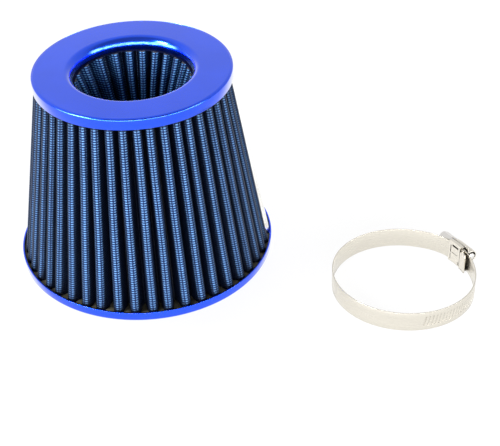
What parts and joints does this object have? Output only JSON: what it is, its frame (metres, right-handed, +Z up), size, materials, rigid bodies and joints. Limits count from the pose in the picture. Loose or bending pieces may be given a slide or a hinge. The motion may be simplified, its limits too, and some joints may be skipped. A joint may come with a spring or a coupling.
{
  "type": "air filter",
  "caption": "Open-top cone air filter with pleated wire-and-cotton walls, an inverted inner cone, blue end plates and a rubber neck, with its loose worm-drive hose clamp beside it.",
  "frame": {"origin": "on the floor, at the middle of the footprint of the filter and the clamp that lies beside it; the filter's axis is the vertical line at X = -0.0632, Y = 0", "axes": "+Z up along the filter's axis, from the neck to the open top; +X from the filter towards the clamp"},
  "size_m": [0.2764, 0.15, 0.1455],
  "materials": {
    "blue_enamel": "gloss",
    "blue_wire": "satin, woven",
    "cotton": "matt",
    "khaki_resin": "satin",
    "dark_resin": "satin",
    "black_rubber": "matt",
    "bare_steel": "bright",
    "stainless_strip": "bright",
    "zinc_screw": "plated"
  },
  "bodies": {
    "filter": {"top_plate": "blue_enamel", "top_potting": "dark_resin", "outer_screen": "blue_wire", "outer_gauze": "cotton", "outer_backing_screen": "blue_wire", "outer_seam_clip": "bare_steel", "cone_screen": "blue_wire", "cone_gauze": "cotton", "cone_backing_screen": "blue_wire", "cone_seam_clip": "bare_steel", "cone_end_cup": "blue_enamel", "cone_end_potting": "dark_resin", "base_pan": "blue_enamel", "base_potting": "khaki_resin", "rubber_neck": "black_rubber"},
    "clamp_head": {"clamp_band_head": "stainless_strip", "clamp_saddle": "stainless_strip", "clamp_housing": "stainless_strip"},
    "clamp_middle": {"clamp_band_middle": "stainless_strip"},
    "clamp_tail": {"clamp_band_tail": "stainless_strip"},
    "clamp_worm": {"clamp_screw": "zinc_screw"}
  },
  "joints": [
    {"name": "clamp_lift", "type": "slide", "parent": "filter", "child": "clamp_head", "axis": [0, 0, 1], "range_m": [0, 0.06]},
    {"name": "screw_turn", "type": "hinge", "parent": "clamp_head", "child": "clamp_worm", "pos_m": [0.13005, 0.00284, 0.0074], "axis": [0.5299, -0.848, 0], "range_deg": [-1080, 1080]},
    {"name": "band_bend_first", "type": "hinge", "parent": "clamp_head", "child": "clamp_middle", "pos_m": [0.08074, 0.01778, 0.0074], "axis": [0, 0, 1], "range_deg": [-4.9, 4.9]},
    {"name": "band_bend_second", "type": "hinge", "parent": "clamp_middle", "child": "clamp_tail", "pos_m": [0.10048, -0.06139, 0.0074], "axis": [0, 0, 1], "range_deg": [-4.9, 4.9]}
  ],
  "couplings": [
    {"joint": "band_bend_first", "follows": "screw_turn", "ratio": 0.0044885},
    {"joint": "band_bend_second", "follows": "screw_turn", "ratio": 0.0044885}
  ]
}
